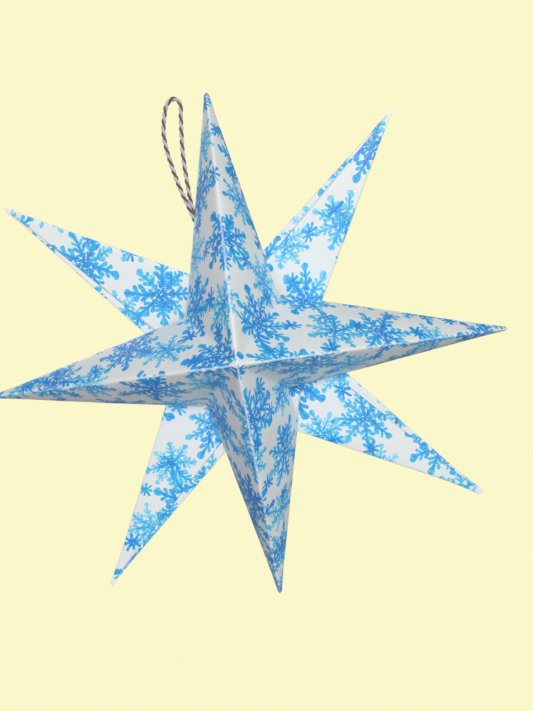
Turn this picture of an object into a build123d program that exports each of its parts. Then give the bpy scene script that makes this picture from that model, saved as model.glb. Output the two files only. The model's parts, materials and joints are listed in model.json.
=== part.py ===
"""Hanging paper star with eight points, folded from two squares of printed card.

Each square has a slit in the middle of every side. Its diagonals are folded up into ridges and
its centre lines down into valleys, so that the two flaps beside each corner lap over each other
behind it and are glued. That makes a half star with four hollow, three-sided arms. Two halves
are glued back to back, one turned against the other, and a loop of baker's twine comes out
between them at the back half's top notch. All sizes are in millimetres.

Frame: +X to the right, +Y from front to back, +Z up. The origin is on the inside of the loop's
top, where a hook carries the star.
"""
import os
from math import acos, atan2, cos, pi, radians, sin, sqrt, tan

from build123d import *

os.makedirs("parts", exist_ok=True)

# --- The flat sheet -------------------------------------------------------------------------
sheet_side = 150.0
half_side = sheet_side / 2
slit_end = 0.6 * half_side          # from the sheet's centre to the inner end of each slit
card = 0.3                          # thickness of the card
blunt = 3.0                         # how far each worn tip stops short of its sharp point

# --- The folded half star -------------------------------------------------------------------
# Peak, notch and tip are joined by lines that lie in the flat sheet, so their lengths are known
# and settle how high the peak stands over the tips.
point_angle = 24.0                  # between the two edges of an arm's flat back, degrees
edge_length = sqrt((half_side - slit_end) ** 2 + half_side ** 2)
ridge_length = sqrt(2) * half_side
notch_radius = sqrt(2) * edge_length * sin(radians(point_angle / 2))
valley_drop = sqrt(slit_end ** 2 - notch_radius ** 2)
back_length = edge_length * cos(radians(point_angle / 2))
back_start = notch_radius / sqrt(2)
chord = sqrt(back_start ** 2 + valley_drop ** 2)
angle_at_peak = acos((ridge_length ** 2 + chord ** 2 - back_length ** 2) / (2 * ridge_length * chord))
ridge_slope = atan2(valley_drop, back_start) - angle_at_peak
peak_height = ridge_length * sin(ridge_slope)
skin = card * 2.05                  # the card measured along the star's axis, on its sloping faces

# --- The two halves, as folded by hand, seen from the front ---------------------------------
# Angles are anticlockwise from +X, in degrees, and radii are from the star's centre. Where an arm's
# anticlockwise fold misses the slit's inner end, it leaves a shoulder beside the notch, which runs
# from there to the right, to the back and up.
front = {
    "side": 1,
    "arms": {"up": (84, 95.2), "left": (175.5, 95.6), "down": (263.5, 94.4), "right": (351, 95.9)},
    "notches": [(42, 22.5), (132.5, 24), (217, 21.5), (309, 20)],
    "shoulders": {"left": (-2.5, 1.9, -1.5), "down": (3.4, 0.4, -2.4), "right": (2.2, 2.3, 1.4)},
}
back = {
    "side": -1,
    "arms": {"upper_right": (44.5, 95.6), "upper_left": (134, 95.2),
             "lower_left": (225.5, 95.8), "lower_right": (315.5, 96.2)},
    "notches": [(-1.2, 23.2), (89.7, 24.2), (174.4, 24.6), (264.3, 23.5)],
    "shoulders": {},
}
star_centre = Vector(2.3, -8.6, -91.8)
sink = 5.5                          # how far each half's tips lie beyond the middle plane

# --- Glue -----------------------------------------------------------------------------------
glue_film = 0.15                    # between the two flaps of an arm
strip_start = 27.0                  # from the tip to the near end of the strip of glue
strip_end = 68.0
strip_width = 3.0
dot_radius = 2.0                    # dots that join the halves where their edges cross
dot_inset = 5.0                     # from the crossing towards the star's centre

# --- Twine ----------------------------------------------------------------------------------
twine = 1.6                         # diameter
strand_gap = 1.8                    # between the centrelines of two strands side by side
bend_radius = 1.7
bend_centre = Vector(2.3, -8.0, -64.8)
lean = 0.122                        # how far the loop goes back for each millimetre up
strand_start = 1.9                  # from the bend's centre to the strands' ends
knot_radius = 2.9
knot_depth = 13.0                   # from the bend down to the knot
tail_length = 8.0
tail_splay = 25.0                   # degrees to each side


def place(angle, radius, height, side):
    """The point at that angle and radius, and that height over its half's own tip plane."""
    a = radians(angle)
    return star_centre + Vector(radius * cos(a), -side * (height - sink), radius * sin(a))


def folded_points(half):
    """The peak, tips and notches of a half star, each at its known distance along the sheet."""
    side = half["side"]
    peak = place(0, 0, peak_height, side)
    tips = []
    for angle, radius in half["arms"].values():
        tips.append(place(angle, radius, peak_height - sqrt(ridge_length ** 2 - radius ** 2), side))
    notches = []
    for angle, radius in half["notches"]:
        notches.append(place(angle, radius, peak_height - sqrt(slit_end ** 2 - radius ** 2), side))
    return peak, tips, notches


def arm_corners(half):
    """Each arm's name with its tip, the notches before and after it and its shoulder's end.

    It goes anticlockwise. An arm without a shoulder has the notch after it there.
    """
    peak, tips, notches = folded_points(half)
    corners = {}
    for index, name in enumerate(half["arms"]):
        after = notches[(index + 1) % 4]
        elbow = after + Vector(half["shoulders"].get(name, (0, 0, 0)))
        corners[name] = (tips[index], notches[index], after, elbow)
    return corners


def triangle(a, b, c):
    return Face(Wire.make_polygon([a, b, c], close=True))


def closed_form(half):
    """The solid between a half star's ridged face and its flat backs."""
    peak, tips, notches = folded_points(half)
    middle = sum(notches, Vector()) / 4
    faces = []
    for name, (tip, before, after, elbow) in arm_corners(half).items():
        faces += [triangle(peak, before, tip), triangle(peak, tip, after)]
        faces += [triangle(tip, before, elbow), triangle(before, middle, after)]
        if name in half["shoulders"]:
            faces += [triangle(tip, after, elbow), triangle(before, after, elbow)]
    return Solid(Shell(faces))


def back_plane(half, tip, fold_end, other_end):
    """The plane of an arm's back: from the tip along one fold, facing into the arm."""
    into = Vector(0, -half["side"], 0)
    normal = (fold_end - tip).cross(other_end - tip)
    if normal.dot(into) < 0:
        normal = -normal
    return Plane(origin=tip, x_dir=fold_end - tip, z_dir=normal)


def flap_outline(plane, fold_end, other_end, missed):
    """The corners of the flap that is folded along the plane's own X, starting at the tip.

    Its fold misses the slit's inner end by that much.
    """
    fold = plane.to_local_coords(fold_end)
    other = plane.to_local_coords(other_end)
    turn = atan2(half_side - slit_end - missed, half_side)
    if other.Y < 0:
        turn = -turn
    return [(0, 0), (fold.X, 0), (half_side * cos(turn), half_side * sin(turn))]


def flap(form, plane, fold_end, other_end, missed=0.0):
    """One flap, lying on the plane and inside the closed form."""
    with BuildPart() as one_flap:
        with BuildSketch(plane):
            with BuildLine():
                Polyline(*flap_outline(plane, fold_end, other_end, missed), close=True)
            make_face()
        extrude(amount=card)
        add(form, mode=Mode.INTERSECT)
    return one_flap.part


# --- Folded halves --------------------------------------------------------------------------
backs = {}
for star_name, half in {"front_star": front, "back_star": back}.items():
    form = closed_form(half)
    flaps = []
    for arm, (tip, before, after, elbow) in arm_corners(half).items():
        # The outer flap is the one folded in along the arm's clockwise edge, seen from the front.
        backs[arm] = back_plane(half, tip, before, elbow)
        opposite = back_plane(half, tip, elbow, before)
        flaps.append(flap(form, backs[arm], before, elbow))
        inner = opposite.offset(card + glue_film)
        flaps.append(flap(form, inner, elbow, before, missed=(elbow - after).length))
    with BuildPart() as star:
        add(form)
        add(form.moved(Location((0, half["side"] * skin, 0))), mode=Mode.SUBTRACT)
        add(flaps)
        for angle, radius in half["arms"].values():
            along = Vector(cos(radians(angle)), 0, sin(radians(angle)))
            end = Plane(origin=star_centre + along * (radius - blunt), z_dir=along)
            split(bisect_by=end, keep=Keep.BOTTOM)
    star.part.label = star_name
    export_step(star.part, f"parts/{star_name}.step")

# --- Glue between the two flaps of each arm ---------------------------------------------------
for half_name, half in {"front": front, "back": back}.items():
    for arm, (tip, before, after, elbow) in arm_corners(half).items():
        film = backs[arm].offset(card)
        middle = film.to_local_coords((before + elbow) / 2)
        ahead = film.from_local_coords(middle) - film.origin
        along = Plane(origin=film.origin, x_dir=ahead, z_dir=film.z_dir)
        with BuildPart() as strip:
            with BuildSketch(along):
                with Locations(((strip_start + strip_end) / 2, 0)):
                    Rectangle(strip_end - strip_start, strip_width)
            extrude(amount=glue_film)
        strip.part.label = f"{half_name}_{arm}_flap_glue"
        export_step(strip.part, f"parts/{strip.part.label}.step")


# --- Glue dots that join the halves -----------------------------------------------------------
def edges(half):
    """Every arm's two folded edges, each as its arm's name and its ends."""
    found = []
    for arm, (tip, before, after, elbow) in arm_corners(half).items():
        found += [(arm, tip, before), (arm, tip, elbow)]
    return found


def crossing(a, b, c, d):
    """Where edges a-b and c-d cross, seen from the front, or None where they don't."""
    first, second, between = b - a, d - c, c - a
    spread = first.X * second.Z - first.Z * second.X
    along_first = (between.X * second.Z - between.Z * second.X) / spread
    along_second = (between.X * first.Z - between.Z * first.X) / spread
    if 0 < along_first < 1 and 0 < along_second < 1:
        return Vector(a.X + along_first * first.X, star_centre.Y, a.Z + along_first * first.Z)
    return None


for front_arm, front_tip, front_notch in edges(front):
    for back_arm, back_tip, back_notch in edges(back):
        cross = crossing(front_tip, front_notch, back_tip, back_notch)
        if cross is None:
            continue
        spot = cross + (star_centre - cross).normalized() * dot_inset
        with BuildPart() as dot:
            with BuildSketch(Plane(origin=spot, x_dir=(1, 0, 0), z_dir=(0, -1, 0))):
                Circle(dot_radius)
            extrude(amount=2 * sink, both=True)
            split(bisect_by=backs[front_arm], keep=Keep.BOTTOM)
            split(bisect_by=backs[back_arm], keep=Keep.BOTTOM)
        dot.part.label = f"join_glue_{front_arm}_to_{back_arm}"
        export_step(dot.part, f"parts/{dot.part.label}.step")

# --- Twine ----------------------------------------------------------------------------------
# The loop leaves the star at the bend, goes up its left strand, over the hook and down its right
# strand. Each point is its place to the right and up, and the lean gives its place to the back.
loop_route = [
    (1.4, -62.9), (0.4, -57.8), (-1.6, -50.8), (-3.7, -43.8), (-4.9, -37.8), (-6.1, -30.8),
    (-6.9, -22.8), (-7.2, -14.8), (-6.7, -8.8), (-4.9, -3.2), (-3.1, 0.2), (0.1, 1.6),
    (2.3, -0.9), (1.4, -5.0), (0.5, -9.8), (-0.8, -16.3), (-1.8, -23.3), (-2.6, -30.3),
    (-2.9, -37.3), (-1.9, -43.8), (0.5, -50.8), (2.4, -57.8), (3.2, -62.9),
]
route = []
for x, z in loop_route:
    route.append(Vector(x, bend_centre.Y + lean * (z - bend_centre.Z), z))

radii = []
for a, b, c in zip(route, route[1:], route[2:]):
    half_turn = radians((b - a).get_angle(c - b)) / 2
    radii.append(0.45 * min((b - a).length, (c - b).length) / tan(half_turn))
print("loop arc radii", [round(r, 1) for r in radii])

with BuildPart() as loop:
    with BuildLine() as line:
        FilletPolyline(*route, radius=radii)
    with BuildSketch(Plane(origin=line.wire() @ 0, z_dir=line.wire() % 0)):
        Circle(twine / 2)
    sweep(path=line.wire())
loop.part.label = "twine_loop"
export_step(loop.part, "parts/twine_loop.step")
length = line.wire().length
section = pi * twine ** 2 / 4
print("loop length", round(length, 1), "volume ratio", round(loop.part.volume / (section * length), 4))

with BuildPart() as bend:
    with Locations(bend_centre):
        Sphere(bend_radius)
bend.part.label = "twine_bend"
export_step(bend.part, "parts/twine_bend.step")

# The two strands go on between the halves to the knot that holds them inside the star. The
# knot's own poles point to the front and back, clear of the strands and the tails.
knot_centre = bend_centre - Vector(0, 0, knot_depth)
with BuildPart() as knot:
    for x in (-strand_gap / 2, strand_gap / 2):
        with BuildSketch(Plane.XY.offset(bend_centre.Z - strand_start)):
            with Locations((bend_centre.X + x, bend_centre.Y)):
                Circle(twine / 2)
        extrude(amount=strand_start - knot_depth)
        tail = Vector(0, 0, -1).rotate(Axis.Y, -tail_splay if x > 0 else tail_splay)
        with BuildSketch(Plane(origin=knot_centre, z_dir=tail)):
            Circle(twine / 2)
        extrude(amount=knot_radius + tail_length)
    with Locations(knot_centre):
        Sphere(knot_radius, rotation=(90, 0, 0))
knot.part.label = "twine_knot"
export_step(knot.part, "parts/twine_knot.step")
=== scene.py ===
"""Looks of the hanging paper star: two folded sheets of printed card and a loop of baker's twine.

Each half star is one flat square sheet folded in mesh code, with the same corners as the CAD
halves: its creases are rounded, its faces stand a little proud and its cut edges show the white
core. The print is drawn in flat sheet coordinates, so it runs over the folds and breaks at the
seams, as it does on a real sheet. Sizes are in metres, except where a comment says otherwise.
"""
import json
from math import acos, atan2, cos, hypot, pi, radians, sin, sqrt

import bmesh
import bpy
import numpy as np
from mathutils import Matrix, Vector


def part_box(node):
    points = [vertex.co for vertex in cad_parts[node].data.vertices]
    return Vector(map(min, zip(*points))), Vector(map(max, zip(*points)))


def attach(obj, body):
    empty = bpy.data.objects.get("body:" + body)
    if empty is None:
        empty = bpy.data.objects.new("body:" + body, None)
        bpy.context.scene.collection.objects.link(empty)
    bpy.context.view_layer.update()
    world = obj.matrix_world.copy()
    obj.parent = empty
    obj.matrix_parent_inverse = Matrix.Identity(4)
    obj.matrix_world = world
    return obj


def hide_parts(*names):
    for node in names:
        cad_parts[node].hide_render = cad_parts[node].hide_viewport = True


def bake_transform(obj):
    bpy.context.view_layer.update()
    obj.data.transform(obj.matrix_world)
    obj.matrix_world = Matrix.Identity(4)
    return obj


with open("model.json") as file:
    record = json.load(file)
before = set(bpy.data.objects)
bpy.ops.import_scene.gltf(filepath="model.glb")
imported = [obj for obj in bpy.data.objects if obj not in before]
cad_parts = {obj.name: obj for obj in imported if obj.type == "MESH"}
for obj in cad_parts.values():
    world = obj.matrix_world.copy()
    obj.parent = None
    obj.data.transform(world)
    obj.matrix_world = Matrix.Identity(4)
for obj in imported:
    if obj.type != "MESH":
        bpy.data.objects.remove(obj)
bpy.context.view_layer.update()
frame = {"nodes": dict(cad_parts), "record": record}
scene = bpy.context.scene
mm = 0.001

# --- The star's geometry, as in the CAD ------------------------------------------------------
joints = {joint["name"]: joint for joint in frame["record"]["behaviour"]["joints"]}
pivot = Vector(joints["loop_fold"]["pos_m"])          # where the twine bends, between the halves
star_centre = pivot + Vector((0, -0.6, -27)) * mm
sink = 5.5 * mm                     # how far each half's tips lie beyond the middle plane
half_side = 75 * mm
slit_end = 0.6 * half_side
card = 0.3 * mm
glue_film = 0.15 * mm
point_angle = radians(24)           # between the two edges of an arm's flat back
edge_length = hypot(half_side - slit_end, half_side)
ridge_length = sqrt(2) * half_side
notch_radius = sqrt(2) * edge_length * sin(point_angle / 2)
valley_drop = sqrt(slit_end ** 2 - notch_radius ** 2)
back_length = edge_length * cos(point_angle / 2)
back_start = notch_radius / sqrt(2)
chord = hypot(back_start, valley_drop)
angle_cosine = (ridge_length ** 2 + chord ** 2 - back_length ** 2) / (2 * ridge_length * chord)
ridge_slope = atan2(valley_drop, back_start) - acos(angle_cosine)
peak_height = ridge_length * sin(ridge_slope)

# Each arm's angle in degrees and its radius in millimetres, and the notches before them. Where an
# arm's anticlockwise fold misses the slit's inner end, its shoulder runs that many millimetres
# from the notch to the right, back and up. Each tip is worn back by its first number, is as full
# as its second, and is rounded over its third, in millimetres. The larger the last number, the
# further the print has worn off the arms' ends.
halves = {
    "front_star": {
        "side": 1,
        "arms": [(84, 95.2), (175.5, 95.6), (263.5, 94.4), (351, 95.9)],
        "notches": [(42, 22.5), (132.5, 24), (217, 21.5), (309, 20)],
        "shoulders": {1: (-2.5, 1.9, -1.5), 2: (3.4, 0.4, -2.4), 3: (2.2, 2.3, 1.4)},
        "tips": [(4.8, 0.1, 0.06), (3.0, 0.7, 0.9), (3.2, 0.5, 0.8), (3.1, 0.6, 0.9)],
        "worn": 1.5,
    },
    "back_star": {
        "side": -1,
        "arms": [(44.5, 95.6), (134, 95.2), (225.5, 95.8), (315.5, 96.2)],
        "notches": [(-1.2, 23.2), (89.7, 24.2), (174.4, 24.6), (264.3, 23.5)],
        "shoulders": {},
        "tips": [(1.5, 0.5, 0.9), (2.3, 0.8, 1.0), (1.4, 0.7, 1.0), (0.6, 1.3, 1.2)],
        "worn": 3.6,
    },
}

# --- How the card folds ----------------------------------------------------------------------
crease_radius = 1.2 * mm            # the sheet is rounded over this distance at every fold,
softer_peak = 0.7                   # and over this much more of it at its centre,
softer_reach = 65 * mm              # which falls to nothing over this distance
fold_rings = ((0.35, 8), (0.7, 12), (1.0, 16))      # averaged rings: share of it, and points
shoulder_reach = 11 * mm            # within this of its valley, a face bends to its notch
bulge = 1.1 * mm                    # how far the middle of a face stands proud,
bulge_range = (0.6, 1.4)            # times a number between these
unevenness = 0.4 * mm               # how far it waves as well, in two crossing sets of ripples,
ripples = ((170, 110), (-90, 210))  # whose rates along and across are in radians a metre
seam_step = card + glue_film        # the inner flap's depth behind the outer one
seam_ramp = 2.5 * mm                # over this distance from its fold it goes down that step
side_room = (0.2 * mm, 0.8 * mm)    # from the outer and the inner flap's edge to the other fold,
short_angle = (radians(2.7), 0)     # and how much further each turns short of that fold
near_tip = 12 * mm                  # nearer to the tip than this, the layers are pressed together,
pressed_share = 0.15                # down to this share of their thickness
tiny = 0.01 * mm                    # stands in for no length at all where one is divided by

# The mesh's steps over a face and a flap, and its marks over a shoulder, along each slit's line.
face_steps, flap_steps, shoulder_marks = 11, 7, 6
# Its rows toward that line: marks over the first share of an arm from its tip, and rows after it,
# which come closer together by this power.
tip_share, tip_marks, body_rows, row_power = 0.06, 9, 36, 1.7
per_point = 1e7                     # points closer together than a metre over this are one point


def star_point(angle, radius, height, side):
    """The point at that angle and radius, and that height over its half's own tip plane."""
    return star_centre + Vector((radius * cos(angle), -side * (height - sink), radius * sin(angle)))


def arm_corners(half):
    """For each arm: the peak, the tip, the notches before and after it and its shoulder."""
    side = half["side"]
    peak = star_point(0, 0, peak_height, side)
    notches = []
    for angle, radius in half["notches"]:
        drop = sqrt(slit_end ** 2 - (radius * mm) ** 2)
        notches.append(star_point(radians(angle), radius * mm, peak_height - drop, side))
    arms = []
    for index, (angle, radius) in enumerate(half["arms"]):
        drop = sqrt(ridge_length ** 2 - (radius * mm) ** 2)
        tip = star_point(radians(angle), radius * mm, peak_height - drop, side)
        shoulder = Vector(half["shoulders"].get(index, (0, 0, 0))) * mm
        arms.append((peak, tip, notches[index], notches[(index + 1) % 4], shoulder))
    return arms


def unit(vector):
    return vector / np.linalg.norm(vector)


def pressed(distance):
    """The share left of the card's thickness and of its roundness, that far from an arm's tip."""
    return np.clip(distance / near_tip, pressed_share, 1)


def shares(along, across, reach):
    """How near points of a face are to its tip, its peak and its third corner, reach out."""
    to_tip = np.clip(across / half_side, 0, 1)
    to_corner = np.clip((along - across) / reach, 0, 1 - to_tip)
    return [share[:, None] for share in (to_tip, 1 - to_tip - to_corner, to_corner)]


class Arm:
    """One quarter of a sheet folded into an arm: flat places in, places in the star out.

    A flat place is (along, across): its distances from the sheet's centre along the slit and
    square to it. The fold runs from the sheet's corner to the slit's inner end, or misses it by
    the length of the arm's shoulder, and the flap lies beyond it.
    """

    def __init__(self, corners, side, worn_tip, seed):
        self.peak, self.tip, before, after, shoulder = (np.array(corner) for corner in corners)
        self.notches = [before, after]
        self.ends = [before, after + shoulder]
        self.missed = [0.0, np.linalg.norm(shoulder)]
        back = unit(np.cross(self.ends[0] - self.tip, self.ends[1] - self.tip))
        self.into = back * -side * np.sign(back[1])
        edges = [unit(end - self.tip) for end in self.ends]
        self.width_angle = acos(edges[0] @ edges[1])
        self.axis = unit(self.tip - (self.peak + before + after) / 3)
        self.blunt, self.fullness, self.cap = (length * mm for length in worn_tip)
        self.seed = seed
        self.bulges = np.random.default_rng(seed).uniform(*bulge_range, 2) * bulge

    def face(self, along, across, which):
        """The places of points on one of the two faces beside the ridge.

        The face is a plane from the ridge to the fold, and bends to the notch near its valley.
        """
        notch, end, missed = self.notches[which], self.ends[which], self.missed[which]
        to_tip, to_peak, to_end = shares(along, across, slit_end + missed)
        plane = to_tip * self.tip + to_peak * self.peak + to_end * end
        _, from_notch_peak, to_notch = shares(along, across, slit_end)
        past = along - slit_end - across * (half_side - slit_end) / half_side
        beyond = np.clip(past / max(missed, mm), 0, 1)[:, None]
        bent = to_tip * self.tip + from_notch_peak * self.peak + to_notch * notch
        bent += beyond * (end - notch)
        share = np.clip(across / shoulder_reach, 0, 1)[:, None]
        share = share ** 2 * (3 - 2 * share)
        out = unit(np.cross(end - self.peak, self.tip - self.peak))
        out *= np.sign(out @ self.into)
        first, second = (rate[0] * along + rate[1] * across for rate in ripples)
        wave = np.sin(first + self.seed) * np.sin(second)
        in_middle = 27 * to_end * to_tip * to_peak          # 1 there, and 0 at the face's sides
        proud = in_middle * (self.bulges[which] + unevenness * wave)[:, None]
        return share * plane + (1 - share) * bent + proud * out

    def flap(self, along, across, which):
        """The places of points on one of the two flaps, which lap over each other behind."""
        missed = self.missed[which]
        x_dir = unit(self.ends[which] - self.tip)
        y_dir = self.ends[1 - which] - self.tip
        y_dir = unit(y_dir - (y_dir @ x_dir) * x_dir)
        fold = unit(np.array((slit_end + missed - half_side, -half_side)))
        square = np.array((-fold[1], fold[0]))
        offset = np.stack([along - half_side, across - half_side], axis=1)
        x, y = offset @ fold, np.maximum(offset @ square, 0)
        distance, turn = np.hypot(x, y), np.arctan2(y, x)
        room = side_room[which] * pressed(distance) / np.maximum(distance, mm)
        width = self.width_angle - short_angle[which] - room
        turn *= np.clip(width / atan2(half_side - slit_end - missed, half_side), 0, 1)
        x, y = distance * np.cos(turn), distance * np.sin(turn)
        depth = which * seam_step * np.clip(y / seam_ramp, 0, 1) * pressed(distance)
        return self.tip + x[:, None] * x_dir + y[:, None] * y_dir + depth[:, None] * self.into

    def wear(self, points):
        """Wears the sharp tip back to a blunt, round one."""
        offset = points - self.tip
        from_tip = np.maximum(-(offset @ self.axis), tiny)
        sideways = offset + from_tip[:, None] * self.axis
        kept = np.hypot(from_tip, self.blunt)
        half_width = np.hypot(kept * sin(point_angle / 2), self.fullness)
        half_width *= np.sqrt(1 - np.clip(1 - (kept - self.blunt) / self.cap, 0, 1) ** 2)
        wider = half_width / (from_tip * sin(point_angle / 2))
        return self.tip - kept[:, None] * self.axis + wider[:, None] * sideways


def fold_quarter(arms, index, u, v):
    """Folds points of arm index's quarter. u and v run along the slits before and after it."""
    places = np.zeros((len(u), 3))
    owner = np.full(len(u), index)
    past_before = (v < 0) & (u <= slit_end)
    past_after = (u < 0) & (v <= slit_end)
    u, v = np.where(past_before, -v, u), np.where(past_before, u, v)
    u, v = np.where(past_after, v, u), np.where(past_after, -u, v)
    owner[past_before] = (index - 1) % 4
    owner[past_after] = (index + 1) % 4
    u, v = np.clip(u, 0, half_side), np.clip(v, 0, half_side)
    which = (v > u).astype(int)
    along, across = np.maximum(u, v), np.minimum(u, v)
    for number, arm in enumerate(arms):
        for side in (0, 1):
            start = slit_end + arm.missed[side]
            on_flap = along > start + across * (half_side - start) / half_side
            for shape, chosen in ((arm.face, ~on_flap), (arm.flap, on_flap)):
                some = (owner == number) & (which == side) & chosen
                if some.any():
                    places[some] = shape(along[some], across[some], side)
    return places


def soft_fold(arms, index, u, v):
    """Folds points with rounded creases: each goes to the middle of where its surroundings go."""
    total = fold_quarter(arms, index, u, v)
    count = 1
    reach = crease_radius * pressed(np.hypot(half_side - u, half_side - v))
    reach *= 1 + softer_peak * np.clip(1 - np.hypot(u, v) / softer_reach, 0, 1)
    for ring, spokes in fold_rings:
        step = ring * reach
        for turn in np.arange(spokes) * 2 * pi / spokes:
            total += fold_quarter(arms, index, u + step * cos(turn), v + step * sin(turn))
            count += 1
    return arms[index].wear(total / count)


def graded(length, steps):
    """Distances from 0 to length, close together at both ends."""
    half = (np.arange(steps + 1) / steps) ** 2 * length / 2
    return np.concatenate([half, length - half[-2::-1]])


def base_side(missed):
    """Distances from the sheet's centre out along one slit, closer together at every fold."""
    fold = slit_end + missed
    on_face, on_flap = graded(slit_end, face_steps), fold + graded(half_side - fold, flap_steps)
    on_shoulder = np.linspace(slit_end, fold, shoulder_marks)
    return np.unique(np.concatenate([on_face, on_shoulder, on_flap]).round(6))


def base_line(arm):
    """Flat points on the line opposite an arm's tip: slit, notch, centre, notch and slit."""
    before, after = base_side(arm.missed[0]), base_side(arm.missed[1])
    return np.array([(0, v) for v in after[:0:-1]] + [(0, 0)] + [(u, 0) for u in before[1:]])


def card_object(name, points, faces, flat_places, from_fold):
    """A folded sheet's printed side as an object, made as thick as the card by a modifier."""
    fullness = pressed(np.linalg.norm(half_side - np.abs(flat_places), axis=1))
    mesh = bpy.data.meshes.new(name)
    mesh.from_pydata(points.tolist(), [], faces)
    uv = mesh.uv_layers.new(name="sheet")
    for loop in mesh.loops:
        uv.data[loop.index].uv = flat_places[loop.vertex_index] / (2 * half_side) + 0.5
    mesh.attributes.new("mm_from_fold", "FLOAT", "POINT").data.foreach_set("value", from_fold)
    mesh.update()
    sheet = bpy.data.objects.new(name, mesh)
    scene.collection.objects.link(sheet)
    for polygon in mesh.polygons:
        polygon.use_smooth = True
    full = sheet.vertex_groups.new(name="full")
    for index, share in enumerate(fullness.tolist()):
        full.add([index], share, "REPLACE")
    thickness = sheet.modifiers.new("thickness", "SOLIDIFY")
    thickness.vertex_group = "full"
    thickness.thickness = card
    thickness.offset = -1
    thickness.material_offset = 1
    thickness.material_offset_rim = 2
    return sheet


def folded_sheet(name, half, seed):
    """One flat square sheet, folded into a half star."""
    side = half["side"]
    arms = []
    for index, corners in enumerate(arm_corners(half)):
        arms.append(Arm(corners, side, half["tips"][index], seed + index))
    body = 1 - (1 - np.arange(1, body_rows + 1) / body_rows) ** row_power
    body = tip_share + (1 - tip_share) * body
    rows = np.concatenate([np.linspace(0, tip_share, tip_marks), body])
    corner = np.array((half_side, half_side))
    keys, sums, counts, flat_places, from_fold, faces = {}, [], [], [], [], []
    for index, arm in enumerate(arms):
        base = base_line(arm)
        flat = corner + rows[:, None, None] * (base - corner)
        u, v = flat[..., 0].ravel(), flat[..., 1].ravel()
        places = soft_fold(arms, index, u, v)
        start = slit_end + np.where(v > u, arm.missed[1], arm.missed[0])
        fold = start + np.minimum(u, v) * (half_side - start) / half_side
        turn = index * pi / 2
        x, y = u * cos(turn) - v * sin(turn), u * sin(turn) + v * cos(turn)
        on_line = (u < 1 / per_point) | (v < 1 / per_point)
        on_slit = on_line & (np.maximum(u, v) > slit_end + 10 / per_point)
        numbers = []
        for k in range(len(u)):
            edge = (index, u[k] < v[k]) if on_slit[k] else None
            key = (round(x[k] * per_point), round(y[k] * per_point), edge)
            if key not in keys:
                keys[key] = len(sums)
                sums.append(np.zeros(3))
                counts.append(0)
                flat_places.append((x[k], y[k]))
                from_fold.append(abs(max(u[k], v[k]) - fold[k]) / mm)
            number = keys[key]
            sums[number] += places[k]
            counts[number] += 1
            numbers.append(number)
        grid = np.array(numbers).reshape(len(rows), len(base))
        for a in range(len(rows) - 1):
            for b in range(len(base) - 1):
                corners = [grid[a, b], grid[a + 1, b], grid[a + 1, b + 1], grid[a, b + 1]]
                corners = list(dict.fromkeys(corners))
                if len(corners) > 2:
                    faces.append(corners if side > 0 else corners[::-1])
    points = np.array(sums) / np.array(counts)[:, None]
    return card_object(name, points, faces, np.array(flat_places), from_fold)


# --- Materials -------------------------------------------------------------------------------
class Field:
    """A number that varies over a surface. Arithmetic on it adds shader nodes."""

    def __init__(self, tree, socket):
        self.tree, self.socket = tree, socket

    def math(self, operation, *others):
        node = self.tree.nodes.new("ShaderNodeMath")
        node.operation = operation
        for value, entry in zip((self, *others), node.inputs):
            feed(self.tree, value, entry)
        return Field(self.tree, node.outputs[0])

    def __add__(self, other):
        return self.math("ADD", other)

    def __sub__(self, other):
        return self.math("SUBTRACT", other)

    def __mul__(self, other):
        return self.math("MULTIPLY", other)

    def __truediv__(self, other):
        return self.math("DIVIDE", other)

    def least(self, other):
        return self.math("MINIMUM", other)

    def most(self, other):
        return self.math("MAXIMUM", other)

    def fade(self, low, high, at_low=0.0, at_high=1.0):
        """Goes smoothly from at_low, where this field is low, to at_high, where it is high."""
        node = self.tree.nodes.new("ShaderNodeMapRange")
        node.interpolation_type = "SMOOTHSTEP"
        for value, entry in zip((self, low, high, at_low, at_high), node.inputs):
            feed(self.tree, value, entry)
        return Field(self.tree, node.outputs[0])


def feed(tree, value, entry):
    """Links a socket or a field to a node's input, or sets the input to a plain value."""
    if isinstance(value, Field):
        value = value.socket
    if isinstance(value, bpy.types.NodeSocket):
        tree.links.new(value, entry)
    else:
        entry.default_value = value


def vector_math(tree, operation, *values, output="Vector"):
    node = tree.nodes.new("ShaderNodeVectorMath")
    node.operation = operation
    for value, entry in zip(values, node.inputs):
        feed(tree, value, entry)
    if output == "Value":
        return Field(tree, node.outputs["Value"])
    return node.outputs["Vector"]


def scaled(tree, vector, factor):
    node = tree.nodes.new("ShaderNodeVectorMath")
    node.operation = "SCALE"
    feed(tree, vector, node.inputs[0])
    feed(tree, factor, node.inputs["Scale"])
    return node.outputs["Vector"]


def combined(tree, x, y):
    node = tree.nodes.new("ShaderNodeCombineXYZ")
    feed(tree, x, node.inputs["X"])
    feed(tree, y, node.inputs["Y"])
    return node.outputs["Vector"]


def parts_of(tree, vector):
    node = tree.nodes.new("ShaderNodeSeparateXYZ")
    feed(tree, vector, node.inputs[0])
    return [Field(tree, output) for output in node.outputs]


def noise(tree, vector, scale, detail=2.0, roughness=0.5):
    """Smooth noise from 0 to 1, and the same noise as three numbers."""
    node = tree.nodes.new("ShaderNodeTexNoise")
    feed(tree, vector, node.inputs["Vector"])
    node.inputs["Scale"].default_value = scale
    node.inputs["Detail"].default_value = detail
    node.inputs["Roughness"].default_value = roughness
    return Field(tree, node.outputs["Fac"]), node.outputs["Color"]


def mixed(tree, share, first, second):
    """first where share is 0 and second where share is 1."""
    node = tree.nodes.new("ShaderNodeMix")
    node.data_type = "RGBA"
    # This node's sockets share their names: 0 is its factor, and 6, 7 and 2 are for colours.
    feed(tree, share, node.inputs[0])
    feed(tree, first, node.inputs[6])
    feed(tree, second, node.inputs[7])
    return node.outputs[2]


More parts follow.
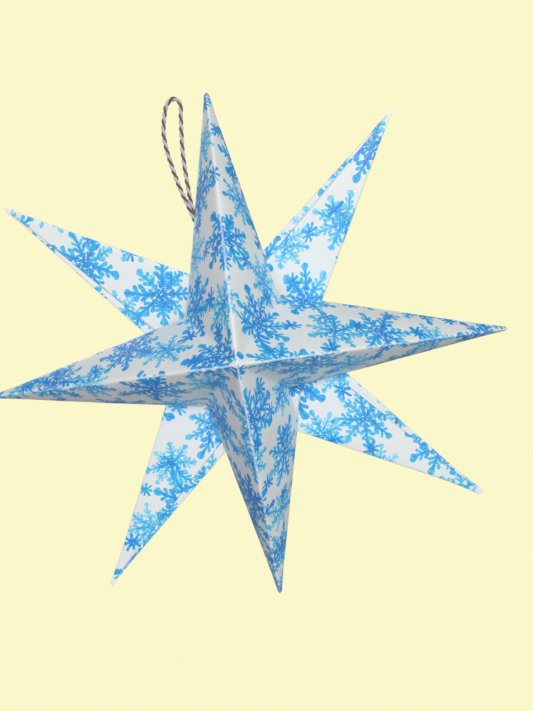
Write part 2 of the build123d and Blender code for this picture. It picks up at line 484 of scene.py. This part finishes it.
def bumped(tree, height, depth, strength=1.0):
    node = tree.nodes.new("ShaderNodeBump")
    node.inputs["Strength"].default_value = strength
    node.inputs["Distance"].default_value = depth
    feed(tree, height, node.inputs["Height"])
    return node.outputs["Normal"]


def new_material(name):
    """An empty material, its node tree and its surface shader's inputs."""
    material = bpy.data.materials.new(name)
    material.use_nodes = True
    return material, material.node_tree, material.node_tree.nodes["Principled BSDF"].inputs


def colour(red, green, blue):
    """A colour as it looks on a screen, each part from 0 to 255, for a shader."""
    linear = [((part / 255 + 0.055) / 1.055) ** 2.4 for part in (red, green, blue)]
    return (*linear, 1.0)


paper_white = colour(240, 243, 240)
# White for worn print, and for the painted highlight along the ridges.
wear_and_highlight_white = colour(250, 250, 248)
# The painted shadow's grey, beside the sheet's cut sides.
painted_shadow_grey = colour(105, 113, 132)
# The ink's colours, from where there is least of it to where there is most.
ink_colours = [
    (0.00, colour(170, 230, 250)),
    (0.25, colour(118, 216, 248)),
    (0.50, colour(62, 196, 245)),
    (0.75, colour(38, 172, 240)),
    (1.00, colour(30, 144, 228)),
]

# One arm of each kind of printed flake, for a flake of radius 1: each stroke starts on the arm's
# axis, and widens from its first radius to its second.
flake_arms = 8
leafy_flake = [
    ((0.04, 0.0), (0.80, 0.0), 0.062, 0.046),
    ((0.78, 0.0), (0.90, 0.0), 0.054, 0.118),
    ((0.20, 0.0), (0.31, 0.080), 0.040, 0.046),
    ((0.36, 0.0), (0.54, 0.158), 0.030, 0.064),
    ((0.57, 0.0), (0.71, 0.140), 0.028, 0.052),
]
plain_flake = [((0.05, 0.0), (0.84, 0.0), 0.125, 0.160)]

# Each layer of flakes: its grid's spacing in millimetres and its shift in cells, the flakes'
# radius in millimetres, the layer's seed, the kind of flake and how much ink it has.
flake_layers = [
    (28.0, 0.0, 12.8, 1, leafy_flake, 0.50),
    (28.0, 0.5, 9.8, 2, leafy_flake, 0.18),
    (15.0, 0.2, 3.5, 3, plain_flake, 0.45),
]
cell_play = 0.9                     # a flake moves over this share of what its cell has to spare
size_range = 0.10                   # and is smaller by up to this share
shortest_arm, arm_range = 0.85, 0.20                # an arm's least length, and its range over it
centre_radius = 0.19                # of the flake's solid centre, in flake radii
own_tone = 0.6                      # the share of an arm's tone that isn't its flake's
flake_salt, arm_salt = 7.3, 11.7    # these keep a flake's random numbers apart from its arms'

# How the ink lies, how the sheet has worn, and where a highlight and a shadow are painted.
# Each of these is two distances, and how strong the effect is at the first and at the second:
# from 0 to 1 if they aren't given.
ink_at_outline = (-0.10, 0.12, 1, 0)                # millimetres outside a flake's outline
ink_at_rim = (-0.50, -0.08)                         # the same, where it dried last
ink_in_heart = (0.08, 0.75, 0.30, 0)                # flake radii from its centre
ink_in_vein = (0.05, 0.45, 0.26, 0)                 # millimetres from an arm's middle line
bare_in_heart = (0.12, 0.42, 1, 0)                  # flake radii from its centre
# Along the ridge: worn white, and partly a painted highlight that is strongest near the centre.
ridge_wear_and_highlight = (0.05, 0.9, 0.9, 0)                # millimetres from the ridge,
white_outward = (15, 60, 1.0, 0.25)                 # and from the sheet's centre
white_on_fold = (0.05, 0.5, 0.40, 0)                # millimetres from any other fold
# A painted shadow beside the sheet's cut sides, where a flap's edge would cast shade:
painted_shadow_at_cut = (0.40, 0.80, 0.45, 0)                 # millimetres from the sheet's side
# These are two levels of noise instead.
uneven_range = (0.3, 0.7)
bare_specks = (0.60, 0.65)
patch_levels = (0.35, 0.65, 0.45, 1)
# How much the ink varies with the wash, the paper's grain, the rim and the arm's tone, how much
# less of it there is everywhere, and the share that is gone in a bare speck.
wash_ink, grain_ink, rim_ink, tone_ink, less_ink, speck_share = 0.36, 0.24, 0.10, 0.50, 0.60, 0.85
tip_white, tip_blend = 0.9, 1.2     # how white a worn tip is, and over how many millimetres it ends
tip_slope, tip_raggedness = 0.7, 3  # what its edge takes from the distance, and from the wash


def stroke_distance(tree, point, start, end, start_radius, end_radius):
    """The distance from point to a stroke with round ends, below 0 inside it."""
    along = Vector(end) - Vector(start)
    offset = vector_math(tree, "SUBTRACT", point, (*start, 0))
    scale = (*(along / along.length_squared), 0)
    share = vector_math(tree, "DOT_PRODUCT", offset, scale, output="Value").most(0).least(1)
    nearest = scaled(tree, (*along, 0), share)
    distance = vector_math(tree, "DISTANCE", offset, nearest, output="Value")
    return distance - (share * (end_radius - start_radius) + start_radius)


def chance(tree, cell, number):
    """Random numbers from 0 to 1 for a grid's cell: one, and a list of three."""
    node = tree.nodes.new("ShaderNodeTexWhiteNoise")
    node.noise_dimensions = "4D"
    feed(tree, cell, node.inputs["Vector"])
    feed(tree, number, node.inputs["W"])
    return Field(tree, node.outputs["Value"]), parts_of(tree, node.outputs["Color"])


def flake_layer(tree, place, spacing, offset, radius, seed, strokes):
    """One flake in each cell of a grid on the sheet, turned, sized and moved at random.

    Gives the distance to the nearest stroke in millimetres, below 0 inside it, the distance
    from the flake's centre in flake radii, the distance from the arm's middle line in
    millimetres, and the arm's tone.
    """
    grid = tree.nodes.new("ShaderNodeMapping")
    feed(tree, place, grid.inputs["Vector"])
    grid.inputs["Scale"].default_value = (1 / spacing, 1 / spacing, 0)
    grid.inputs["Location"].default_value = (offset, offset, 0)
    cell = vector_math(tree, "FLOOR", grid.outputs["Vector"])
    cell = vector_math(tree, "ADD", cell, (0.5, 0.5, 0.5))
    within = vector_math(tree, "FRACTION", grid.outputs["Vector"])
    tone, (shift_x, shift_y, turn) = chance(tree, cell, flake_salt * seed)
    room = cell_play - 2 * cell_play * radius / spacing
    centre = combined(tree, (shift_x - 0.5) * room + 0.5, (shift_y - 0.5) * room + 0.5)
    size = tone * (size_range * radius) + (1 - size_range) * radius
    local = vector_math(tree, "SUBTRACT", within, centre)
    local = scaled(tree, local, (size / spacing).math("POWER", -1))
    x, y, _ = parts_of(tree, local)
    distance = vector_math(tree, "LENGTH", local, output="Value")
    step = 2 * pi / flake_arms
    angle = y.math("ARCTAN2", x) + turn * (2 * pi)
    arm = (angle / step).math("ROUND")
    folded_angle = (angle - arm * step).math("ABSOLUTE")
    arm_number = arm.math("FLOORED_MODULO", flake_arms)
    arm_tone, (arm_length, _, _) = chance(tree, cell, arm_number + arm_salt * seed)
    reach = distance / (arm_length * arm_range + shortest_arm)
    from_axis = folded_angle.math("SINE") * reach
    folded = combined(tree, folded_angle.math("COSINE") * reach, from_axis)
    ink = distance - centre_radius
    for stroke in strokes:
        ink = ink.least(stroke_distance(tree, folded, *stroke))
    tone = arm_tone * own_tone + tone * (1 - own_tone)
    return ink * size, distance, from_axis * size, tone


def wavering(tree, place, scale, reach):
    """A smooth random move, up to about half of that reach either way."""
    _, moved = noise(tree, place, scale)
    return scaled(tree, vector_math(tree, "SUBTRACT", moved, (0.5, 0.5, 0.5)), reach)


def watercolour(tree, print_mm, wash, grain, deeper):
    """The colour of white paper with the flakes on it. Deeper is how much more ink there is."""
    # The brush doesn't follow the drawing exactly, so the print is bent a little, twice.
    slow = wavering(tree, print_mm, scale=0.09, reach=5.0)
    quick = wavering(tree, print_mm, scale=0.75, reach=0.7)
    drawn = vector_math(tree, "ADD", print_mm, vector_math(tree, "ADD", slow, quick))
    drawn = vector_math(tree, "MULTIPLY", drawn, (1, 1, 0))

    speck, _ = noise(tree, print_mm, scale=1.3, detail=1)
    uneven = wash.fade(*uneven_range) * wash_ink + grain.fade(*uneven_range) * grain_ink
    most, covered = None, None
    for *layer, strokes, depth in flake_layers:
        ink, from_centre, from_axis, tone = flake_layer(tree, drawn, *layer, strokes)
        inked = ink.fade(*ink_at_outline)
        rim = ink.fade(*ink_at_rim) * rim_ink
        heart = from_centre.fade(*ink_in_heart)
        vein = from_axis.fade(*ink_in_vein)
        bare = speck.fade(*bare_specks) * from_centre.fade(*bare_in_heart)
        inked = inked * (bare * -speck_share + 1)
        base_ink = depth + deeper - less_ink
        amount = inked * (uneven + tone * tone_ink + rim + heart + vein + base_ink)
        most = amount if most is None else most.most(amount)
        covered = inked if covered is None else covered.most(inked)
    ramp = tree.nodes.new("ShaderNodeValToRGB")
    feed(tree, most, ramp.inputs["Fac"])
    stops = ramp.color_ramp.elements
    stops[0].position, stops[0].color = ink_colours[0]
    stops[1].position, stops[1].color = ink_colours[-1]
    for position, shade in ink_colours[1:-1]:
        stops.new(position).color = shade
    return mixed(tree, covered, paper_white, ramp.outputs["Color"])


def with_wear_and_painted_light(tree, shade, flat_mm, wash, grain, worn_tip):
    """The same colour, with worn white folds and tips, a painted ridge highlight and side shadow.

    All of them lie along known lines of the flat sheet.
    """
    x, y, _ = parts_of(tree, vector_math(tree, "ABSOLUTE", flat_mm))
    along, across = x.most(y), x.least(y)
    ridge = (along - across) * sqrt(0.5)
    fold = tree.nodes.new("ShaderNodeAttribute")
    fold.attribute_name = "mm_from_fold"
    patchy = grain.fade(*patch_levels)
    # Along the ridge, worn white and partly a painted highlight; along the other folds, worn white.
    worn = ridge.fade(*ridge_wear_and_highlight) * along.fade(*white_outward)
    worn = worn.most(Field(tree, fold.outputs["Fac"]).fade(*white_on_fold)) * patchy
    from_side = along * -1 + half_side / mm
    from_tip = from_side + (across * -1 + half_side / mm)
    ragged = from_tip * tip_slope + wash * tip_raggedness
    worn = worn.most(ragged.fade(worn_tip, worn_tip + tip_blend, tip_white, 0))
    off_tip = ragged.fade(worn_tip, worn_tip + tip_blend, 0, 1)
    # A painted shadow: grey beside the sheet's cut sides, where a flap's edge would cast shade,
    # fading near the worn tips.
    painted_shadow = from_side.fade(*painted_shadow_at_cut) * off_tip * patchy
    return mixed(tree, painted_shadow, mixed(tree, worn, shade, wear_and_highlight_white), painted_shadow_grey)


def printed_card(name, shift, turn, deeper, worn_tip):
    """Card with a watercolour print of snowflakes.

    Shift and turn choose the piece of the print, and deeper is how much more ink that piece has.
    The larger worn_tip is, the further the print has worn off the sheet's corners.
    """
    material, tree, surface = new_material(name)
    flat = tree.nodes.new("ShaderNodeUVMap")
    flat.uv_map = "sheet"
    centred = vector_math(tree, "SUBTRACT", flat.outputs["UV"], (0.5, 0.5, 0))
    flat_mm = scaled(tree, centred, 2 * half_side / mm)
    grid = tree.nodes.new("ShaderNodeMapping")
    feed(tree, flat_mm, grid.inputs["Vector"])
    grid.inputs["Location"].default_value = (*shift, 0)
    grid.inputs["Rotation"].default_value = (0, 0, turn)
    print_mm = grid.outputs["Vector"]

    wash, _ = noise(tree, print_mm, scale=0.5, detail=3)
    grain, _ = noise(tree, print_mm, scale=1.8, detail=3)
    shade = watercolour(tree, print_mm, wash, grain, deeper)
    shade = with_wear_and_painted_light(tree, shade, flat_mm, wash, grain, worn_tip)
    feed(tree, shade, surface["Base Color"])

    # Its gloss varies a little and its surface has a fine tooth.
    fine, _ = noise(tree, flat_mm, scale=5, detail=3)
    broad, _ = noise(tree, flat_mm, scale=0.5, detail=2)
    feed(tree, fine * 0.14 + broad * 0.10 + 0.34, surface["Roughness"])
    feed(tree, bumped(tree, fine * 0.5 + broad, depth=0.03 * mm, strength=0.6), surface["Normal"])
    surface["Specular IOR Level"].default_value = 0.4
    return material


def plain_card(name, shade, roughness):
    """The card's unprinted side, or the core that shows at a cut."""
    material, tree, surface = new_material(name)
    place = tree.nodes.new("ShaderNodeTexCoord").outputs["Object"]
    fibre, _ = noise(tree, place, scale=2500, detail=4)
    cloud, _ = noise(tree, place, scale=250)
    darker = tuple(0.93 * part for part in shade[:3]) + (1.0,)
    feed(tree, mixed(tree, fibre * 0.6 + cloud * 0.4, darker, shade), surface["Base Color"])
    feed(tree, bumped(tree, fibre, depth=0.02 * mm), surface["Normal"])
    surface["Roughness"].default_value = roughness
    return material


def dried_glue(name):
    """Clear-drying paper glue."""
    material, tree, surface = new_material(name)
    place = tree.nodes.new("ShaderNodeTexCoord").outputs["Object"]
    ripple, _ = noise(tree, place, scale=900, detail=3)
    shade = mixed(tree, ripple, colour(226, 224, 214), colour(244, 243, 238))
    feed(tree, shade, surface["Base Color"])
    feed(tree, ripple * 0.25 + 0.22, surface["Roughness"])
    feed(tree, bumped(tree, ripple, depth=0.05 * mm), surface["Normal"])
    return material


def yarn(name, shade, pale):
    """One ply of the twine: fine fibres that run along it in a shallow spiral."""
    material, tree, surface = new_material(name)
    flat = tree.nodes.new("ShaderNodeUVMap")
    flat.uv_map = "yarn"
    along, around, _ = parts_of(tree, flat.outputs["UV"])
    stretched, fibres_around, fibre_slant = 0.35, 14, 2.2
    spiral = combined(tree, along * stretched, around * fibres_around + along * fibre_slant)
    fibre, _ = noise(tree, spiral, scale=1.0, detail=4, roughness=0.65)
    blotch, _ = noise(tree, combined(tree, along, around * 2), scale=0.8)
    share = fibre.fade(*uneven_range) * 0.75 + blotch * 0.25
    feed(tree, mixed(tree, share, shade, pale), surface["Base Color"])
    feed(tree, bumped(tree, fibre, depth=0.12 * mm), surface["Normal"])
    surface["Roughness"].default_value = 0.85
    surface["Sheen Weight"].default_value = 0.35
    surface["Sheen Roughness"].default_value = 0.5
    return material


inside = plain_card("card_inside", colour(236, 235, 232), 0.85)
core = plain_card("card_core", colour(244, 236, 236), 0.8)
glue = dried_glue("dried_glue")
plies = [
    yarn("twine_white", colour(178, 172, 190), colour(234, 230, 240)),
    yarn("twine_brown", colour(82, 56, 46), colour(150, 118, 102)),
]

# --- Sheets and glue -------------------------------------------------------------------------
# The piece of the print on each sheet: its shift in millimetres, its turn in radians and how much
# more ink it has.
print_cuts = {"front_star": ((20.4, 5.5), 0.3, 0.12), "back_star": ((320, 190), 1.9, -0.03)}
for number, (node, half) in enumerate(halves.items()):
    sheet = folded_sheet(node + "_sheet", half, seed=10 * number)
    sheet.data.materials.append(printed_card(node + "_print", *print_cuts[node], half["worn"]))
    sheet.data.materials.append(inside)
    sheet.data.materials.append(core)
    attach(sheet, "star")
    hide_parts(node)

for name, node in frame["nodes"].items():
    if "glue" in name:
        node.data.materials.clear()
        node.data.materials.append(glue)

# --- Twine -----------------------------------------------------------------------------------
twine = 1.6 * mm
strand_gap = 1.8 * mm
twist = 4.7 * mm                    # length of one full turn of the two plies,
twist_steps, ply_sections = 16, 10  # and the mesh's steps along it and round a ply
ply_offset, ply_radius = 0.175 * twine, 0.325 * twine
lean = 0.122                        # how far the loop goes back for each millimetre up
knot_depth = 13 * mm                # below the pivot
knot_scale = 0.72 * mm
knot_steps = 96
tail_length = 8 * mm
tail_splay = radians(25)
tail_bow = 0.8 * mm                 # how far a tail bows out,
tail_bow_at = 0.4                   # at this share of its length
# The loop's route in millimetres, to the right, up and behind its leaning plane: up its left
# strand, over the hook and down its right strand, which passes behind the left one.
loop_route = [
    (1.4, -62.9, 0), (0.4, -57.8, -0.1), (-1.2, -50.8, -0.4), (-2.9, -43.8, -0.75),
    (-3.9, -37.8, -0.75), (-5.4, -30.8, -0.3), (-6.3, -22.8, 0), (-6.85, -14.8, 0), (-6.3, -8.8, 0),
    (-4.4, -3.2, 0), (-2.7, 0.2, 0), (0.1, 1.6, 0), (2.2, -0.9, 0), (1.1, -5.0, 0), (0.1, -9.8, 0),
    (-1.2, -16.3, 0), (-2.1, -23.3, 0), (-2.6, -30.3, 0.3), (-3.2, -37.3, 0.75),
    (-2.3, -43.8, 0.75), (0.2, -50.8, 0.4), (2.4, -57.8, 0.1), (3.2, -62.9, 0),
]


def leaning(x, z, behind=0.0):
    """The place at that distance behind the loop's plane, which leans back."""
    return Vector((x, pivot.y + lean * (z - pivot.z) + behind, z))


def smooth_line(points):
    """Points along the NURBS spline that has these control points."""
    curve = bpy.data.curves.new("route", "CURVE")
    curve.dimensions = "3D"
    curve.resolution_u = 24
    spline = curve.splines.new("NURBS")
    spline.points.add(len(points) - 1)
    for target, point in zip(spline.points, points):
        target.co = (*point, 1)
    spline.order_u = 3
    spline.use_endpoint_u = True
    route = bpy.data.objects.new("route", curve)
    mesh = bpy.data.meshes.new_from_object(route)
    line = np.array([vertex.co for vertex in mesh.vertices])
    bpy.data.objects.remove(route)
    return line


def resampled(line, step):
    """The same line with evenly spaced points."""
    lengths = np.concatenate([[0], np.cumsum(np.linalg.norm(np.diff(line, axis=0), axis=1))])
    count = max(2, round(lengths[-1] / step))
    marks = np.linspace(0, lengths[-1], count + 1)
    return marks, np.stack([np.interp(marks, lengths, line[:, axis]) for axis in range(3)], axis=1)


def side_directions(line):
    """Two directions square to the line and to each other at each of its points, without twist."""
    ahead = np.gradient(line, axis=0)
    ahead /= np.linalg.norm(ahead, axis=1)[:, None]
    first = [unit(np.cross(ahead[0], (0.0, 1.0, 0.0)))]
    for direction in ahead[1:]:
        first.append(unit(first[-1] - (first[-1] @ direction) * direction))
    first = np.array(first)
    return first, np.cross(ahead, first)


def twisted_twine(name, lines):
    """Two-ply twine along each of the lines, as one mesh."""
    vertices, faces, owners, marks_around = [], [], [], []
    near_seam = 0.15                # this share of the way round, on either side of the UV's seam
    for line in lines:
        marks, line = resampled(line, twist / twist_steps)
        first, second = side_directions(line)
        for ply in (0, 1):
            start = len(vertices)
            turn = ply * pi - marks * 2 * pi / twist
            toward = np.cos(turn)[:, None] * first + np.sin(turn)[:, None] * second
            beside = np.cos(turn)[:, None] * second - np.sin(turn)[:, None] * first
            for k, centre in enumerate(line + ply_offset * toward):
                for section in range(ply_sections):
                    angle = section * 2 * pi / ply_sections
                    spoke = cos(angle) * toward[k] + sin(angle) * beside[k]
                    vertices.append(centre + ply_radius * spoke)
                    marks_around.append((marks[k] / mm, section / ply_sections))
            for k in range(len(line) - 1):
                for section in range(ply_sections):
                    a = start + k * ply_sections + section
                    b = start + k * ply_sections + (section + 1) % ply_sections
                    faces.append((a, b, b + ply_sections, a + ply_sections))
                    owners.append(ply)
            for ring, order in ((0, -1), (len(line) - 1, 1)):
                cap = [start + ring * ply_sections + section for section in range(ply_sections)]
                faces.append(cap[::order])
                owners.append(ply)
    mesh = bpy.data.meshes.new(name)
    mesh.from_pydata([tuple(vertex) for vertex in vertices], [], faces)
    uv = mesh.uv_layers.new(name="yarn")
    for polygon, owner in zip(mesh.polygons, owners):
        polygon.material_index = owner
        polygon.use_smooth = True
        for corner in polygon.loop_indices:
            along, around = marks_around[mesh.loops[corner].vertex_index]
            wraps = any(marks_around[v][1] > 1 - near_seam for v in polygon.vertices)
            uv.data[corner].uv = (along, around + 1 if wraps and around < near_seam else around)
    for material in plies:
        mesh.materials.append(material)
    made = bpy.data.objects.new(name, mesh)
    scene.collection.objects.link(made)
    return made


def strand_pair(top, bottom):
    """The two strands side by side between two heights."""
    pair = []
    for side in (-1, 1):
        x = pivot.x + side * strand_gap / 2
        pair.append(np.array([leaning(x, top), leaning(x, (top + bottom) / 2), leaning(x, bottom)]))
    return pair


def overhand_knot(centre, size):
    """A tied knot's line: three lobes that pass over and under each other."""
    turn = np.linspace(0, 2 * pi, knot_steps + 1)
    shape = np.stack([np.sin(turn) + 2 * np.sin(2 * turn), 1.2 * np.sin(3 * turn),
                      np.cos(turn) - 2 * np.cos(2 * turn)], axis=1)
    return np.array(centre) + size * shape


loop_line = smooth_line([leaning(x * mm, z * mm, behind * mm) for x, z, behind in loop_route])
loop = twisted_twine("hanging_loop", [loop_line])
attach(loop, "loop")
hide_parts("twine_loop")

bend_top, bend_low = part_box("twine_loop")[0].z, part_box("twine_knot")[1].z
upper_bend = twisted_twine("bend_upper", strand_pair(bend_top, pivot.z))
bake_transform(upper_bend)
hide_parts("twine_bend")
lower_bend = twisted_twine("bend_lower", strand_pair(pivot.z, bend_low))
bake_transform(lower_bend)

knot_centre = pivot - Vector((0, 0, knot_depth))
tied = [overhand_knot(knot_centre, knot_scale)]
for side in (-1, 1):
    x = side * strand_gap / 2
    strand_top = pivot + Vector((x, 0, bend_low - pivot.z))
    tied.append(np.array([strand_top, knot_centre + Vector((x, 0, 0))]))
    tail = Vector((side * sin(tail_splay), 0, -cos(tail_splay)))
    bowed = knot_centre + tail_bow_at * tail_length * tail + Vector((0, side * tail_bow, 0))
    tied.append(np.array([knot_centre, bowed, knot_centre + tail_length * tail]))
knot = twisted_twine("inner_knot", tied)
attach(knot, "star")
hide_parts("twine_knot")

# --- Camera ----------------------------------------------------------------------------------
camera = bpy.data.objects.new("camera", bpy.data.cameras.new("camera"))
scene.collection.objects.link(camera)
scene.camera = camera
camera.data.sensor_fit = "HORIZONTAL"
camera.data.sensor_width = 36
camera.data.lens = 35.12
camera.data.clip_start = 0.01
camera_place = star_centre + Vector((12.67, -180.84, 11.24)) * mm
aim = star_centre + Vector((7.17, 0, -2.37)) * mm
forward = (aim - camera_place).normalized()
roughly_up = Vector((0.247, 0.080, 0.966))
right = forward.cross(roughly_up).normalized()
up = right.cross(forward)
turned = Matrix((right, up, -forward)).transposed().to_4x4()
camera.matrix_world = Matrix.Translation(camera_place) @ turned

# --- Light and stage -------------------------------------------------------------------------
scene.view_settings.view_transform = "Standard"
world = bpy.data.worlds.new("studio")
scene.world = world
world.use_nodes = True
sky = world.node_tree
left_tint, right_tint = (0.84, 0.80, 0.88, 1), (0.90, 0.96, 1.0, 1)
rightward, _, _ = parts_of(sky, sky.nodes.new("ShaderNodeTexCoord").outputs["Generated"])
tint = mixed(sky, rightward.fade(-0.8, 0.8), left_tint, right_tint)
feed(sky, tint, sky.nodes["Background"].inputs["Color"])
sky.nodes["Background"].inputs["Strength"].default_value = 0.355


def studio_light(name, place, size, energy):
    """A square soft light that faces the star."""
    light = bpy.data.objects.new(name, bpy.data.lights.new(name, "AREA"))
    light.data.size = size
    light.data.energy = energy
    light.location = star_centre + Vector(place)
    light.rotation_euler = (star_centre - light.location).to_track_quat("-Z", "Y").to_euler()
    scene.collection.objects.link(light)


studio_light("key", place=(0.22, -1.19, 0.30), size=0.5, energy=9.5)
studio_light("behind", place=(-0.35, 1.25, 0.45), size=0.9, energy=6.5)


def backdrop():
    """A plain pale room round the object, with a flat floor. It gives the object no light."""
    drop, room, segments = 0.45, 2.5, 48
    shell = bmesh.new()
    bmesh.ops.create_uvsphere(shell, u_segments=segments, v_segments=segments // 2, radius=room)
    for vertex in shell.verts:
        vertex.co.z = max(vertex.co.z, -drop)
    mesh = bpy.data.meshes.new("backdrop")
    shell.to_mesh(mesh)
    shell.free()
    made = bpy.data.objects.new("backdrop", mesh)
    scene.collection.objects.link(made)
    material, _, surface = new_material("backdrop_cream")
    surface["Base Color"].default_value = (0, 0, 0, 1)
    surface["Specular IOR Level"].default_value = 0
    surface["Emission Color"].default_value = colour(250, 247, 203)
    surface["Emission Strength"].default_value = 1
    mesh.materials.append(material)
    made.visible_diffuse = False
    made.visible_glossy = False
    made.visible_transmission = False
    made.visible_shadow = False


backdrop()
